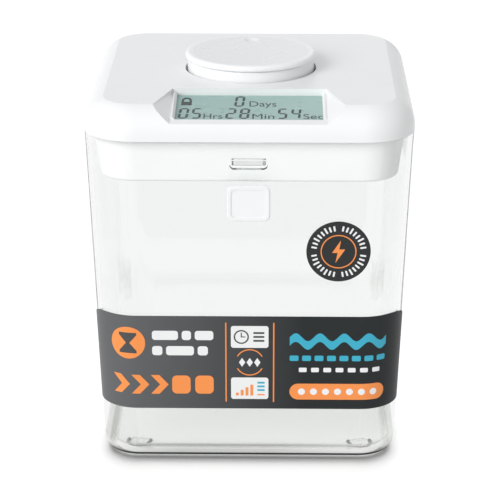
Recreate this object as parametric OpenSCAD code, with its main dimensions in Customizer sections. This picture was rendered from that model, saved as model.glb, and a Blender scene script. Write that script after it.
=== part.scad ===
// Timed lock container: a clear tapered box whose lid carries a timer, a dial and two motor-driven
// latch bolts. Millimetres, +Z up, origin on the ground under the middle of the box, front at -Y.

/* [Container] */
// Outside width of the container at its rim
rim_w = 174.8; // [170:0.2:180]
// Outside width of the container at its base
base_w = 159.4; // [156:0.2:164]
// Straight length of each side, between the rounded corners
flat_w = 120; // [116:0.5:124]
// Height of the container from the underside of its base to its rim
box_h = 182.8; // [170:0.1:200]
// Thickness of the container's walls
wall = 3; // [2.4:0.1:3.2]
// Thickness of the container's floor
floor_t = 4; // [3:0.1:6]
// Rounding along the container's bottom edge
base_round = 6; // [2:0.1:7]

/* [Feet] */
// Diameter of a foot
foot_d = 13.3; // [10:0.1:16]
// Height that a foot stands proud of the base
foot_proud = 0.8; // [0.5:0.1:2]
// Depth that a foot is let into the base
foot_sunk = 1.2; // [0.6:0.1:1.8]
// Distance of each foot from the middle of the base, along X and along Y
foot_at = 61; // [52:0.5:63]

/* [Latch slots] */
// Length of a latch slot in the container's wall
slot_w = 20; // [18:0.2:24]
// Height of a latch slot
slot_h = 5; // [4.6:0.1:6]
// Depth of the slots' middle below the rim
slot_drop = 12.4; // [11.6:0.1:13]

/* [Charging port] */
// Width of the port hole
port_w = 15.4; // [12:0.2:16]
// Height of the port hole
port_h = 12.4; // [10:0.2:14]
// Depth of the port hole's middle below the rim
port_drop = 33.4; // [32:0.1:50]
// Overhang of the plug's flange round the hole
plug_lip = 3.65; // [3:0.05:4.5]
// Thickness of the plug's flange
plug_t = 1.4; // [1:0.1:1.4]
// Width of the raised border on the plug's face
plug_border = 2; // [1.2:0.1:3]
// Thickness of the plug's hollow spigot
spigot_wall = 1.2; // [0.8:0.1:2]
// Clearance between the spigot and its hole
spigot_gap = 0.15; // [0.1:0.05:0.3]

/* [Label and sticker] */
// Thickness of the label band
label_t = 0.4; // [0.2:0.05:0.8]
// Height of the band's lower edge above the ground
label_low = 31.1; // [20:0.1:38]
// Height of the band itself
label_h = 54.6; // [44:0.2:64]
// Reach of the band along each side wall, from the middle of the box towards the front
label_end = 49; // [40:0.5:56]
// Rounding of the band's upper ends
label_round = 30; // [20:0.5:34]
// Diameter of the round sticker
sticker_d = 34; // [26:0.5:40]
// Distance of the sticker's middle to the right of the box's middle
sticker_x = 47.4; // [30:0.2:50]
// Depth of the sticker's middle below the rim
sticker_drop = 60.4; // [56:0.2:70]

/* [Lid] */
// Height of the lid from its rim's lower edge to its top plane
lid_h = 17.5; // [16.6:0.1:19]
// Overhang of the lid past the container's rim
lid_over = 0.1; // [0:0.05:1]
// Height of the upright band round the lid's rim
rim_band = 3; // [2.6:0.1:4]
// Run of the rounded shoulder, from the rim to the crease round the top plane
shoulder = 10.4; // [9:0.1:11]
// Thickness of the lid shell
lid_wall = 2.5; // [2:0.1:3]
// Thickness of the foot ring that closes the gap between the shell and the skirt
foot_ring_t = 2.4; // [1.6:0.1:2.6]
// Gap between the skirt and the inside of the container at the rim
skirt_gap = 2.1; // [1.5:0.1:3]
// Taper of the skirt, from the rim down to its lower edge
skirt_taper = 3.3; // [2.6:0.1:4]
// Depth of the skirt below the rim
skirt_h = 23.8; // [21.8:0.1:24]
// Thickness of the skirt
skirt_wall = 2.2; // [1.6:0.1:2.4]
// Thickness of the tray's floor
tray_floor = 2.5; // [2:0.1:3]
// Lap of the tray inside the shell, above the rim
tray_lap = 5; // [4:0.1:5.5]
// Distance of the lid screws from the middle, along X and along Y
lid_screw_at = 62; // [58:0.5:64]

/* [Dial] */
// Diameter of the dial's upper disc
dial_d = 72.2; // [68:0.2:74]
// Height of the dial above the lid's top plane
dial_rise = 9.4; // [9:0.1:12]
// Thickness of the upper disc at its edge
disc_t = 3.4; // [2.8:0.1:4]
// Rounding of the dial's top edge
disc_round = 2; // [1:0.1:2.4]
// Rounding of the upper disc's lower edge
disc_under = 1.2; // [0.4:0.1:1.2]
// Depth of the hollow in the dial's top face
dish = 1.2; // [0.2:0.1:1.4]
// Step from the upper disc in to the lower ring
ring_step = 1.3; // [0.4:0.1:1.6]
// Width of the groove between the two
groove = 0.2; // [0.1:0.1:1.2]
// Gap between the upper disc and the edge of the well, seen from above
dial_gap = 0.1; // [0:0.1:1.2]
// Depth of the well's floor below the lid's top plane
well_deep = 5; // [4.6:0.1:5.2]
// Travel of the dial when it is pressed
press = 1.2; // [0.8:0.1:1.3]
// Distance of the finger dimple from the dial's middle
dimple_at = 25.5; // [22:0.5:27]
// Diameter of the finger dimple
dimple_d = 8; // [5:0.5:9]
// Diameter of the dial's shaft
shaft_d = 6; // [5:0.1:7]
// Thickness of the sleeve round the shaft
sleeve_wall = 1.95; // [1.5:0.05:2.4]
// Running clearance of the shaft and the sleeve, on the radius
run_gap = 0.05; // [0.03:0.01:0.08]
// Diameter of the code wheel
code_d = 28; // [24:0.5:30]
// Number of slots in the code wheel
code_slots = 24; // [12:1:36]

/* [Display] */
// Distance from the dial's well to the back edge of the pocket
pocket_back = 9.8; // [9:0.1:10]
// Depth of the pocket at its back edge
pocket_deep = 2.5; // [2:0.1:2.8]
// Tilt of the pocket's floor, down to the front
pocket_tilt = 8; // [7:0.2:8.6]
// Width of the pocket's floor at each side of the window opening
pocket_side = 2.3; // [1.6:0.1:4]
// Width that the flared sides add to the pocket, at the crease
flare = 18; // [12:0.5:22]
// Thickness of the shell under the pocket
pocket_wall = 1.8; // [1.4:0.1:2]
// Width of the window opening
window_w = 77.4; // [74:0.2:78]
// Distance of the window opening's front edge behind the lid's rim
window_in = 7.3; // [7:0.1:9]
// Thickness of the clear window
window_t = 1.2; // [0.8:0.1:1.3]
// Thickness of the display glass
lcd_t = 2.2; // [1.8:0.1:2.4]
// Overlap of the glass behind the opening, at each edge
lcd_lap = 1; // [0.6:0.1:1.2]

/* [Latch drive] */
// Gear module
gear_m = 1; // [1:1:1]
// Teeth of the rack pinion
rack_teeth = 12; // [12:1:12]
// Teeth of the large gear
large_teeth = 40; // [38:2:40]
// Teeth of the motor pinion
motor_teeth = 10; // [10:2:12]
// Tooth thickness at the pitch circle
tooth_t = 1.45; // [1.4:0.01:1.5]
// Travel of each latch bolt
bolt_travel = 6.2; // [5:0.1:6.4]
// Width of a bolt's head, where the slots leave it room
head_wide = 18; // [16:0.2:19]
// Thickness of the bolts
bolt_t = 4; // [3.6:0.1:4.4]
// Clearance round a bolt in its guides
bolt_gap = 0.2; // [0.1:0.05:0.3]
// Clearance between a bolt's head and the round ends of the container's slots
slot_gap = 0.3; // [0.2:0.05:0.5]
// Diameter of the gear's axle
axle_d = 4; // [3:0.1:5]
// Diameter of the motor's can
motor_d = 20; // [18:0.2:21]
// Height of the motor's can
motor_h = 12.4; // [10:0.1:13]

/* [Batteries] */
// Diameter of a cell
cell_d = 14.5; // [14.5:0.1:14.5]
// Length of a cell
cell_l = 50.5; // [50.5:0.1:50.5]
// Distance of the battery bay's middle to the left of the box's middle
bay_x = 47; // [46:0.1:50]
// Thickness of the bay's walls
bay_wall = 2.2; // [1.8:0.1:2.4]
// Thickness of the battery door
door_t = 1.9; // [1.5:0.1:2.2]
// Clearance round the battery door
door_gap = 0.2; // [0.1:0.05:0.4]

/* [Boards] */
// Thickness of the circuit boards
board_t = 1.6; // [1.2:0.1:1.6]

/* [Hidden] */
$fn = 96;
eps = 0.01;

// Container: heights above the ground, and radii about the corner axes
corner = flat_w / 2;
base_z = foot_proud;
rim_z = base_z + box_h;
rim_r = rim_w / 2 - corner;
base_r = base_w / 2 - corner;
draft = (rim_r - base_r) / box_h;
draft_angle = atan(draft);
function wall_r(z) = base_r + draft * (z - base_z);
function wall_y(z) = corner + wall_r(z);
slot_z = rim_z - slot_drop;
port_z = rim_z - port_drop;
sticker_z = rim_z - sticker_drop;
port_round = 2;

// Lid
seat_gap = 0.1;
lid_low = rim_z + seat_gap;
top_z = lid_low + lid_h;
lid_r = rim_r + lid_over;
crease_r = lid_r - shoulder;
shoulder_z = lid_low + rim_band;
shoulder_rise = top_z - shoulder_z;
shoulder_r = (shoulder * shoulder + shoulder_rise * shoulder_rise) / (2 * shoulder);
plate_z = top_z - lid_wall;

// Skirt and tray
skirt_top_r = rim_r - wall - skirt_gap;
skirt_low_r = skirt_top_r - skirt_taper;
skirt_z = lid_low - skirt_h;
tray_top = lid_low + tray_lap;
tray_z = skirt_z + tray_floor;
skirt_round = 2;
fit = 0.2;

// Dial
dial_r = dial_d / 2;
dial_top = top_z + dial_rise;
disc_low = dial_top - disc_t;
under_r = min(disc_under, disc_t - disc_round - 0.1);
ring_r = dial_r - ring_step;
ring_top = disc_low - groove;
well_r = dial_r + dial_gap;
well_wall = 2;
well_z = top_z - well_deep;
ring_low = well_z + press + 0.3;
cap_t = 2.2;
plug_in = 2.8;
dimple_deep = 1;
dimple_r = (dimple_d * dimple_d / 4 + dimple_deep * dimple_deep) / (2 * dimple_deep);
neck_r = ring_r - 1.9;
shaft_r = shaft_d / 2;
sleeve_in = shaft_r + run_gap;
sleeve_out = sleeve_in + sleeve_wall;
bush_in = sleeve_out + run_gap;
bush_out = bush_in + 3;
bush_low = well_z - 4.5;
bush_top = well_z + 1.8;
flange_r = bush_out + 4;
flange_low = bush_top + press + 0.3;
flange_t = 1.5;
sleeve_low = bush_low - 0.4;
hub_r = 7;
hub_low = flange_low + flange_t + 0.2;
hub_deep = 4.2;
wheel_t = 1.2;
wheel_top = sleeve_low - 0.3;
wheel_low = wheel_top - wheel_t;
clip_t = 0.8;
shaft_low = wheel_low - clip_t - 0.1;

// Main board, hung under the lid; the dial's shaft ends over its middle
board_top = shaft_low - 4.6;
board_low = board_top - board_t;
board_x0 = -46;
board_x1 = 13;
board_y = 22;
board_hole = [[-42, -18], [-42, 18], [9, -18], [9, 18]];

// Display, in a frame of its own: x as the lid, -y down the pocket's floor, z square to the floor
pocket_y = -(well_r + pocket_back);
pocket_z = top_z - pocket_deep;
window_deep = (corner + lid_r - window_in + pocket_y) / cos(pocket_tilt);
pocket_w = window_w + 2 * pocket_side;
lcd_half = window_w / 2 + lcd_lap;
lcd_top = -pocket_wall;
lcd_low = lcd_top - lcd_t;
strip_h = 3.4;
disp_board_top = lcd_low - strip_h;
disp_board_low = disp_board_top - board_t;
disp_half = lcd_half + fit + 8.1;
disp_screw = [for (x = [-1, 1], y = [-4, 5.5 - window_deep]) [x * (disp_half - 3.5), y]];

// Latch drive
bolt_low = slot_z - bolt_t / 2;
bolt_top = slot_z + bolt_t / 2;
slot_clear = slot_w - slot_h + sqrt(slot_h * slot_h - bolt_t * bolt_t);
head_w = min(head_wide, slot_clear - 2 * slot_gap);
pressure = 25;
addendum = 0.9 * gear_m;
dedendum = 1.15 * gear_m;
pitch = PI * gear_m;
rack_r = gear_m * rack_teeth / 2;
large_r = gear_m * large_teeth / 2;
motor_r = gear_m * motor_teeth / 2;
motor_x = large_r + motor_r;
stem_out = 12;
stem_in = rack_r + dedendum;
head_out = corner + skirt_low_r + skirt_taper * (slot_z - skirt_z) / skirt_h - 0.2;
skirt_in = corner + skirt_low_r - skirt_wall;
head_guide = [skirt_in - 6.8, skirt_in - 1.8];
bridge = [head_guide[0] - bolt_travel - 6.8, head_guide[0] - bolt_travel - 0.8];
tail_guide = [22, 27];
stem_end = tail_guide[1] + bolt_travel + 1.3;
rack_gap = 0.3;
axle_boss_top = bolt_low - 0.8;
pinion_low = axle_boss_top + 0.2;
large_low = bolt_top + 1.2;
large_t = 3.2;
gear_top = large_low + large_t + 0.8;
axle_top = gear_top + 1.6;
can_low = gear_top + 2.2;
plate_low = large_low + large_t + 1;
can_top = can_low + motor_h;

// Battery bay, a box on the tray's floor that opens downwards
cell_r = cell_d / 2;
cell_pitch = cell_d + 0.7;
cell_z = skirt_z + door_t + 0.1 + 0.4 + cell_r;
bay_w = cell_pitch + cell_d + 1.2;
bay_l = cell_l + 3.5;
bay_top = cell_z + cell_r + 0.6;
door_w = bay_w + 2.4;
door_l = bay_l + 2.4;
tab_w = 9;
tab_y = door_l / 2 + 5;

function arc(cx, cy, r, a0, a1, n) =
    [for (i = [0:n]) let (a = a0 + (a1 - a0) * i / n) [cx + r * cos(a), cy + r * sin(a)]];

function rounded_rect(w, h, r, n = 8) = concat(
    arc(w / 2 - r, h / 2 - r, r, 0, 90, n), arc(r - w / 2, h / 2 - r, r, 90, 180, n),
    arc(r - w / 2, r - h / 2, r, 180, 270, n), arc(w / 2 - r, r - h / 2, r, 270, 360, n));

// A square form with rounded corners: the 2-D section, x out from the corner's axis and y up, is
// turned about the four corner axes and run along the four sides between them.
module round_square_wall() {
    for (turn = [0:90:270])
        rotate(turn) translate([corner, corner, 0]) {
            rotate_extrude(angle = 90) children();
            rotate([90, 0, 0]) linear_extrude(2 * corner) children();
        }
}

module round_square(z0, z1) {
    round_square_wall() children();
    translate([-corner, -corner, z0]) cube([2 * corner, 2 * corner, z1 - z0]);
}

// Section of a tapered wall with a rounded lower edge, filled in to the corner's axis
module tapered_section(r0, z0, r1, z1, edge) {
    slope = atan((r1 - r0) / (z1 - z0));
    reach = edge * tan((90 - slope) / 2);
    polygon(concat([[0, z1], [0, z0]],
        arc(r0 - reach, z0 + edge, edge, -90, -slope, 6), [[r1, z1]]));
}

module on_front_wall(x, z) {
    translate([x, -wall_y(z), z]) rotate([draft_angle, 0, 0]) children();
}

module port_outline(grow) {
    polygon(rounded_rect(port_w + 2 * grow, port_h + 2 * grow, port_round + 0.3 * grow));
}

module container() color([0.93, 0.95, 0.96, 0.35]) difference() {
    round_square(base_z, rim_z)
        tapered_section(base_r, base_z, rim_r, rim_z, base_round);
    round_square(base_z + floor_t, rim_z + 1)
        tapered_section(wall_r(base_z + floor_t) - wall, base_z + floor_t,
                        wall_r(rim_z + 1) - wall, rim_z + 1, base_round - 0.5);
    for (side = [0, 180]) rotate(side) latch_slot();
    on_front_wall(0, port_z) rotate([90, 0, 0]) translate([0, 0, -wall - 2])
        linear_extrude(wall + 4) port_outline(0);
    at_feet() cylinder(h = base_z + foot_sunk, d = foot_d);
}

module latch_slot() {
    end = (slot_w - slot_h) / 2;
    translate([0, 0, slot_z]) rotate([90, 0, 0]) translate([0, 0, wall_y(slot_z) - wall - 3]) {
        for (s = [-1, 1]) translate([s * end, 0, 0]) cylinder(h = wall + 6, d = slot_h);
        translate([-end, -slot_h / 2, 0]) cube([2 * end, slot_h, wall + 6]);
    }
}

module at_feet() {
    for (x = [-1, 1], y = [-1, 1]) translate([x * foot_at, y * foot_at, 0]) children();
}

module feet() color([0.8, 0.82, 0.83]) at_feet() {
    edge = 0.5;
    rotate_extrude() polygon([[0, 0], [foot_d / 2 - edge - 0.1, 0], [foot_d / 2 - 0.1, edge],
        [foot_d / 2 - 0.1, foot_proud + foot_sunk], [0, foot_proud + foot_sunk]]);
}

// A skin of thickness t on the outside of the container's wall
module wall_skin(z0, z1, t) {
    round_square_wall() polygon([[wall_r(z0), z0], [wall_r(z0) + t, z0],
                                 [wall_r(z1) + t, z1], [wall_r(z1), z1]]);
}

module label_band() color([0.24, 0.25, 0.26]) {
    z1 = label_low + label_h;
    low_round = 6;
    front = rim_w / 2 + 2;
    intersection() {
        wall_skin(label_low, z1, label_t);
        rotate([90, 0, 90]) translate([0, 0, -front]) linear_extrude(2 * front)
            polygon(concat([[-front, z1]],
                arc(-label_end - label_round, z1 - label_round, label_round, 90, 0, 24),
                arc(-label_end - low_round, label_low + low_round, low_round, 0, -90, 8),
                [[-front, label_low]]));
    }
}

module port_sticker() color([0.25, 0.26, 0.27]) intersection() {
    wall_skin(sticker_z - sticker_d, sticker_z + sticker_d, label_t);
    translate([sticker_x, 0, sticker_z]) rotate([90, 0, 0]) cylinder(h = rim_w, d = sticker_d);
}

module port_plug() color([0.96, 0.96, 0.97]) on_front_wall(0, port_z) rotate([90, 0, 0]) {
    edge = 0.5;
    seat = 0.02;
    deep = wall + 1.5;
    difference() {
        union() {
            translate([0, 0, seat]) linear_extrude(plug_t - edge) port_outline(plug_lip);
            translate([0, 0, seat + plug_t - edge])
                linear_extrude(edge) port_outline(plug_lip - edge);
            translate([0, 0, -deep]) linear_extrude(deep + seat + eps) port_outline(-spigot_gap);
        }
        translate([0, 0, seat + plug_t - 0.4])
            linear_extrude(1) port_outline(plug_lip - plug_border);
        translate([0, 0, -deep - 1])
            linear_extrude(deep + 1) port_outline(-spigot_gap - spigot_wall);
    }
}

// Lid shell, seen from the corner's axis: upright rim, one round shoulder, flat top
module lid_outer_section() {
    translate([0, lid_low]) square([lid_r, rim_band]);
    translate([0, shoulder_z]) square([lid_r - shoulder_r, shoulder_rise]);
    intersection() {
        translate([lid_r - shoulder_r, shoulder_z]) circle(shoulder_r);
        translate([0, shoulder_z]) square([lid_r, shoulder_rise]);
    }
}

module lid_inner_section() {
    r = shoulder_r - lid_wall;
    translate([0, lid_low - 1]) square([skirt_top_r + fit, foot_ring_t + 1]);
    translate([0, lid_low + foot_ring_t])
        square([lid_r - lid_wall, rim_band - foot_ring_t]);
    translate([0, shoulder_z]) square([lid_r - shoulder_r, plate_z - shoulder_z]);
    intersection() {
        translate([lid_r - shoulder_r, shoulder_z]) circle(r);
        translate([0, shoulder_z]) square([lid_r, plate_z - shoulder_z]);
    }
}

// The display pocket: sloping floor, upright back, and sides that flare out towards the crease
module pocket(grow = 0) {
    half = pocket_w / 2 + grow * 1.3;
    back = pocket_y + grow;
    low = pocket_z - grow / cos(pocket_tilt) + grow * tan(pocket_tilt);
    crease_y = -corner - crease_r;
    far = back - 52;
    high = top_z + 8;
    step = (back - far) / (back - crease_y);
    wide = half + flare / 2 * step;
    lift = low + (top_z - pocket_z) * step;
    floor_far = low - (back - far) * tan(pocket_tilt);
    polyhedron(
        points = [[half, back, low], [-half, back, low], [half, back, high], [-half, back, high],
                  [wide, far, lift], [-wide, far, lift], [wide, far, high], [-wide, far, high],
                  [half, far, floor_far], [-half, far, floor_far]],
        faces = [[0, 1, 9, 8], [1, 0, 2, 3], [2, 6, 7, 3], [8, 9, 5, 7, 6, 4],
                 [0, 8, 4], [1, 5, 9], [0, 4, 6, 2], [1, 3, 7, 5]]);
}

module on_display() {
    translate([0, pocket_y, pocket_z]) rotate([pocket_tilt, 0, 0]) children();
}

module lid_shell() color([0.95, 0.96, 0.97]) {
    post_r = 4;
    post_low = tray_z + 15;
    difference() {
        union() {
            difference() {
                round_square(lid_low, top_z) lid_outer_section();
                round_square(lid_low - 1, plate_z) lid_inner_section();
            }
            intersection() {
                pocket(pocket_wall);
                round_square(lid_low, top_z) lid_outer_section();
            }
            translate([0, 0, well_z - well_wall])
                cylinder(h = top_z - well_z + well_wall, r = well_r + well_wall);
            translate([0, 0, bush_low]) cylinder(h = bush_top - bush_low, r = bush_out);
            at_lid_screws() translate([0, 0, post_low])
                cylinder(h = plate_z - post_low + 1, r = post_r);
            for (p = board_hole) translate([p[0], p[1], board_top])
                cylinder(h = (p[0] < 0 ? plate_z + 1 : well_z - 1) - board_top, r = 3);
            on_display() for (p = disp_screw) translate([p[0], p[1], lcd_low])
                cylinder(h = 4, r = 2.4);
        }
        pocket();
        translate([0, 0, well_z]) difference() {
            cylinder(h = well_deep + 1, r = well_r);
            cylinder(h = bush_top - well_z, r = bush_out);
        }
        translate([0, 0, bush_low - 1]) cylinder(h = 20, r = bush_in);
        on_display() translate([-window_w / 2, -window_deep, -5])
            cube([window_w, window_deep, 10]);
        at_lid_screws() translate([0, 0, post_low - 1]) cylinder(h = 12, r = 1.25);
        for (p = board_hole) translate([p[0], p[1], board_top - 1]) cylinder(h = 6, r = 1);
        on_display() for (p = disp_screw) translate([p[0], p[1], lcd_low - 1])
            cylinder(h = 4, r = 0.8);
    }
}

module at_lid_screws() {
    for (x = [-1, 1], y = [-1, 1])
        translate([x * lid_screw_at, y * lid_screw_at, 0]) children();
}

module skirt_section(inset, z0, z1, edge) {
    slope = atan(skirt_taper / skirt_h);
    reach = edge * tan((90 - slope) / 2);
    r0 = skirt_low_r - inset + skirt_taper * (z0 - skirt_z) / skirt_h;
    r1 = skirt_top_r - inset;
    polygon(concat([[0, z1], [0, z0]], arc(r0 - reach, z0 + edge, edge, -90, -slope, 5),
        [[r1, lid_low], [r1, z1]]));
}

module door_outline(grow) {
    translate([-bay_x, 0]) {
        square([door_w + 2 * grow, door_l + 2 * grow], center = true);
        translate([-tab_w / 2 - grow, 0]) square([tab_w + 2 * grow, tab_y + tab_w / 2 + grow]);
    }
}

module lid_tray() color([0.92, 0.93, 0.94]) difference() {
    union() {
        difference() {
            round_square(skirt_z, tray_top) skirt_section(0, skirt_z, tray_top, skirt_round);
            round_square(tray_z, tray_top + 1)
                skirt_section(skirt_wall, tray_z, tray_top + 1, skirt_round);
        }
        translate([-bay_x - bay_w / 2 - bay_wall, -bay_l / 2 - bay_wall, skirt_z + 1])
            cube([bay_w + 2 * bay_wall, bay_l + 2 * bay_wall, bay_top + 1.5 - skirt_z - 1]);
        translate([-bay_x, tab_y, skirt_z + 1]) cylinder(h = 10, r = 4);
        at_lid_screws() translate([0, 0, skirt_z + 1]) cylinder(h = tray_z + 14 - skirt_z, r = 4);
        translate([0, 0, skirt_z + 1]) cylinder(h = axle_boss_top - skirt_z - 1, r = 5);
    }
    translate([-bay_x - bay_w / 2, -bay_l / 2, skirt_z - 1])
        cube([bay_w, bay_l, bay_top - skirt_z + 1]);
    translate([0, 0, skirt_z - 1]) linear_extrude(door_t + 1.1) door_outline(door_gap);
    translate([-bay_x, tab_y, skirt_z - 1]) cylinder(h = 10, r = 1.25);
    at_lid_screws() translate([0, 0, skirt_z - 1]) {
        cylinder(h = 4, r = 3.3);
        cylinder(h = 30, r = 1.6);
    }
    translate([0, 0, skirt_z + 1.5]) cylinder(h = 20, d = axle_d);
    translate([-head_w / 2 - bolt_gap, -100, bolt_low - bolt_gap])
        cube([head_w + 2 * bolt_gap, 200, bolt_t + 2 * bolt_gap]);
}

module display_window() color([0.9, 0.95, 0.95, 0.3]) on_display()
    translate([-window_w / 2 + fit, -window_deep + fit, lcd_top + 0.1])
        cube([window_w - 2 * fit, window_deep - 2 * fit, window_t]);

module lcd_panel() color([0.65, 0.75, 0.73]) on_display()
    translate([-lcd_half, -window_deep - lcd_lap, lcd_low])
        cube([2 * lcd_half, window_deep + 2 * lcd_lap, lcd_t]);

module display_frame() color([0.9, 0.9, 0.9]) on_display() difference() {
    ledge = 1.4;
    union() {
        translate([-disp_half, 0.5 - window_deep, disp_board_top])
            cube([2 * disp_half, window_deep + 2.1, strip_h]);
        for (s = [-1, 1])
            translate([s * (lcd_half + fit + ledge / 2), (2.5 - window_deep) / 2, lcd_low + 1.05])
                cube([ledge, window_deep - 4.5, 2.1], center = true);
    }
    translate([-window_w / 2 + 2, 3 - window_deep, disp_board_top - 1])
        cube([window_w - 4, window_deep - 4.5, strip_h + 2]);
    for (p = disp_screw) translate([p[0], p[1], disp_board_top - 1])
        cylinder(h = strip_h + 2, r = 1.1);
}

module contact_strips() color([0.85, 0.6, 0.6]) on_display() {
    half = window_w / 2 - 3.7;
    for (y = [4 - window_deep, -4.5])
        translate([-half, y, disp_board_top]) cube([2 * half, 2, strip_h]);
}

module display_board() color([0.1, 0.4, 0.25]) on_display() difference() {
    translate([0.5 - disp_half, 1.5 - window_deep, disp_board_low])
        cube([2 * disp_half - 1, window_deep + 0.5, board_t]);
    for (p = disp_screw) translate([p[0], p[1], disp_board_low - 1])
        cylinder(h = board_t + 2, r = 1.1);
}

// A cap screw, head down, with its shank rising from the seat of the head
module screw(shank_r, length, head_r, head_h) {
    slot = 0.6;
    difference() {
        translate([0, 0, -head_h]) cylinder(h = head_h, r = head_r);
        for (turn = [0, 90]) rotate(turn) translate([-head_r * 0.6, -slot / 2, -head_h - eps])
            cube([head_r * 1.2, slot, head_h / 2]);
    }
    cylinder(h = length, r = shank_r);
}

module display_screws() color([0.6, 0.6, 0.62]) on_display()
    for (p = disp_screw) translate([p[0], p[1], disp_board_low])
        screw(0.8, lcd_low - disp_board_low + 2.6, 1.9, 1.4);

module display_ribbon() color([0.9, 0.75, 0.4]) {
    ribbon_w = 24;
    ribbon_t = 0.3;
    rear = pocket_y + 0.5;
    up = pocket_z + disp_board_low - 0.8;
    path = [[rear - 4, up - 0.7], [rear, up], [rear + 3, up - 0.6], [rear + 7, up - 3],
            [-board_y - 8, board_top + 1.6], [-board_y - 4, board_top + 0.6],
            [-board_y + 1, board_top], [-board_y + 5, board_top]];
    over = [for (i = [len(path) - 1:-1:0]) path[i] + [0, ribbon_t]];
    rotate([90, 0, 90]) translate([0, 0, -ribbon_w / 2 - 14])
        linear_extrude(ribbon_w) polygon(concat(path, over));
}

module main_board() color([0.1, 0.4, 0.25]) difference() {
    translate([board_x0, -board_y, board_low])
        cube([board_x1 - board_x0, 2 * board_y, board_t]);
    for (p = board_hole) translate([p[0], p[1], board_low - 1]) cylinder(h = 4, r = 1.3);
}

module board_chips() color([0.15, 0.15, 0.16]) {
    chip_t = 1.6;
    near = board_x0 + 10;
    translate([near - 2, -board_y * 0.27, board_top]) cube([12, 12, chip_t]);
    translate([near, board_y * 0.5, board_top]) cube([8, 5, chip_t]);
    translate([near, -board_y * 0.77, board_top]) cube([5, 8, chip_t]);
    for (x = [14, 22]) translate([near + x, board_y * 0.64, board_top]) cylinder(h = 4, r = 2.5);
}

module board_screws() color([0.6, 0.6, 0.62])
    for (p = board_hole) translate([p[0], p[1], board_low]) screw(1, 6, 2.2, 1.4);

module code_sensor() color([0.12, 0.12, 0.13]) {
    r = code_d / 2;
    low = wheel_low - press - 0.6;
    high = wheel_top + 0.5;
    difference() {
        translate([-r - 5, -3.5, board_top])
            cube([9, 7, well_z - well_wall - 0.4 - board_top]);
        translate([-r - 1, -4, low]) cube([10, 8, high - low]);
    }
}

module press_switch() color([0.2, 0.2, 0.22]) difference() {
    translate([-3, -3, board_top]) cube([6, 6, shaft_low - press - 0.2 - board_top]);
    translate([0, 0, board_top + 0.7]) cylinder(h = 5, r = 1.75);
}

module motor_case() color([0.7, 0.7, 0.72]) translate([motor_x, 0, 0]) difference() {
    union() {
        translate([0, 0, can_low]) cylinder(h = motor_h, d = motor_d);
        translate([0, 0, can_low - 0.9]) cylinder(h = 1, r = 3);
    }
    translate([0, 0, can_low - 2]) cylinder(h = 8, r = 1 + run_gap);
    for (s = [-1, 1]) translate([0, s * 6.5, can_low - 1]) cylinder(h = 3, r = 0.9);
}

module motor_bracket() color([0.75, 0.76, 0.78]) translate([motor_x, 0, 0]) {
    half = motor_d / 2 + 4;
    difference() {
        union() {
            translate([-motor_d / 2 - 1, -half, plate_low])
                cube([motor_d + 2, 2 * half, can_low - plate_low]);
            for (s = [-1, 1]) {
                translate([-4, s * half - (s > 0 ? 2 : 0), tray_z])
                    cube([12, 2, plate_low - tray_z]);
                translate([-4, s > 0 ? half - 2 : -half - 6, tray_z]) cube([12, 8, 2]);
            }
        }
        translate([0, 0, plate_low - 1]) cylinder(h = 5, r = 3.05);
        translate([0, 0, plate_low - 1])
            cylinder(h = large_low + large_t + 0.3 - plate_low + 1, r = motor_r + addendum + 0.5);
        for (s = [-1, 1]) {
            translate([0, s * 6.5, plate_low - 1]) cylinder(h = 5, r = 1.1);
            translate([2, s * (half + 3), tray_z - 1]) cylinder(h = 4, r = 1.3);
        }
    }
}

module bracket_screws() color([0.6, 0.6, 0.62]) translate([motor_x, 0, 0])
    for (s = [-1, 1]) {
        translate([0, s * 6.5, plate_low]) screw(0.9, can_low - plate_low + 1.6, 1.5, 0.8);
        translate([2, s * (motor_d / 2 + 7), tray_z + 2]) mirror([0, 0, 1])
            screw(1.2, 2, 2.2, 1.2);
    }

module gear_axle() color([0.7, 0.7, 0.72]) difference() {
    translate([0, 0, skirt_z + 1.5]) cylinder(h = axle_top - skirt_z - 1.5, d = axle_d);
    translate([0, 0, gear_top + 0.2]) difference() {
        cylinder(h = 0.6, r = axle_d);
        translate([0, 0, -1]) cylinder(h = 3, d = axle_d - 1);
    }
}

module axle_clip() color([0.5, 0.5, 0.52]) translate([0, 0, gear_top + 0.2]) difference() {
    cylinder(h = 0.6, r = axle_d / 2 + 2);
    translate([0, 0, -1]) cylinder(h = 3, d = axle_d - 1);
    translate([0, -0.8, -1]) cube([8, 1.6, 3]);
}

// Involute gears: half the angle that a tooth spans at radius r, and the outline of a whole gear
function turn_in(a) = tan(a) * 180 / PI - a;
function half_tooth(r, rp) = tooth_t / (2 * rp) * 180 / PI + turn_in(pressure)
    - turn_in(acos(min(1, rp * cos(pressure) / r)));
function gear_points(teeth, phase = 0) =
    let (rp = gear_m * teeth / 2, rb = rp * cos(pressure), root = rp - dedendum,
         tip = rp + addendum, start = max(rb, root), steps = 4)
    [for (k = [0:teeth - 1]) let (mid = phase + 360 * k / teeth)
        each concat(
            [let (a = mid - half_tooth(start, rp)) root * [cos(a), sin(a)]],
            [for (i = [0:steps]) let (r = start + (tip - start) * i / steps,
                a = mid - half_tooth(r, rp)) r * [cos(a), sin(a)]],
            [for (i = [steps:-1:0]) let (r = start + (tip - start) * i / steps,
                a = mid + half_tooth(r, rp)) r * [cos(a), sin(a)]],
            [let (a = mid + half_tooth(start, rp)) root * [cos(a), sin(a)]])];

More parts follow.
